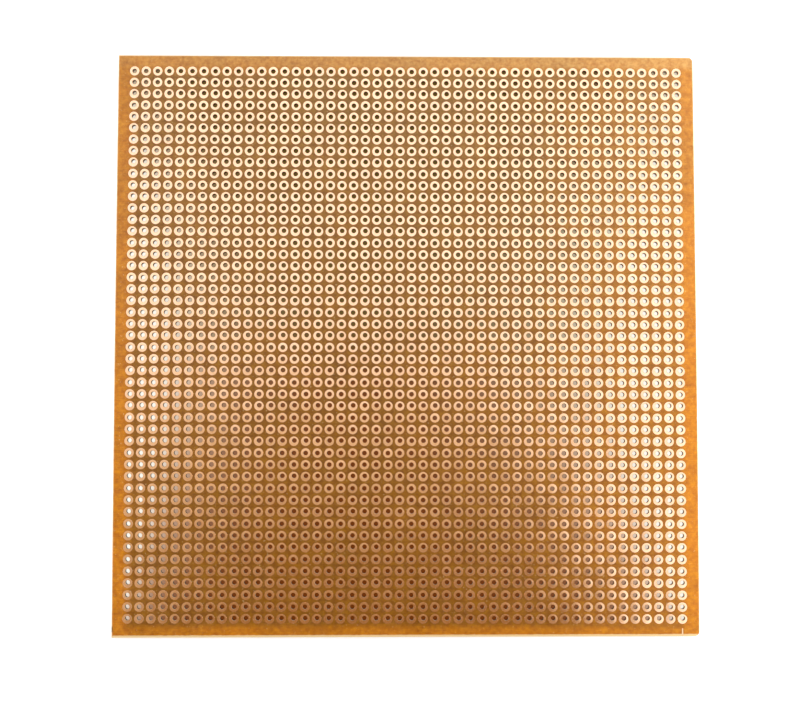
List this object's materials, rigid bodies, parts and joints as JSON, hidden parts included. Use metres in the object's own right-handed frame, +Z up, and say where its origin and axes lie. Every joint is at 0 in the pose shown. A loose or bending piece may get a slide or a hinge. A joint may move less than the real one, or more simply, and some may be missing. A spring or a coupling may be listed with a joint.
{
  "type": "prototype board",
  "caption": "Square brown phenolic paper prototype board with a close grid of round holes, each ringed by a copper solder pad on the upper side.",
  "frame": {"origin": "middle of the board's outline at the height of the surface it lies on", "axes": "+Z up, out of the copper side; +X to the board's right and +Y to its back, as seen from above with the corner line at the front right"},
  "size_m": [0.1266, 0.1269, 0.0018],
  "materials": {
    "laminate": "lacquered phenolic paper, orange brown",
    "copper": "lacquered copper foil"
  },
  "bodies": {
    "root": {"board": "laminate", "pad_row_01": "copper", "pad_row_02": "copper", "pad_row_03": "copper", "pad_row_04": "copper", "pad_row_05": "copper", "pad_row_06": "copper", "pad_row_07": "copper", "pad_row_08": "copper", "pad_row_09": "copper", "pad_row_10": "copper", "pad_row_11": "copper", "pad_row_12": "copper", "pad_row_13": "copper", "pad_row_14": "copper", "pad_row_15": "copper", "pad_row_16": "copper", "pad_row_17": "copper", "pad_row_18": "copper", "pad_row_19": "copper", "pad_row_20": "copper", "pad_row_21": "copper", "pad_row_22": "copper", "pad_row_23": "copper", "pad_row_24": "copper", "pad_row_25": "copper", "pad_row_26": "copper", "pad_row_27": "copper", "pad_row_28": "copper", "pad_row_29": "copper", "pad_row_30": "copper", "pad_row_31": "copper", "pad_row_32": "copper", "pad_row_33": "copper", "pad_row_34": "copper", "pad_row_35": "copper", "pad_row_36": "copper", "pad_row_37": "copper", "pad_row_38": "copper", "pad_row_39": "copper", "pad_row_40": "copper", "pad_row_41": "copper", "pad_row_42": "copper", "pad_row_43": "copper", "pad_row_44": "copper", "pad_row_45": "copper", "pad_row_46": "copper", "pad_row_47": "copper", "pad_row_48": "copper", "corner_tick": "copper"}
  },
  "joints": []
}
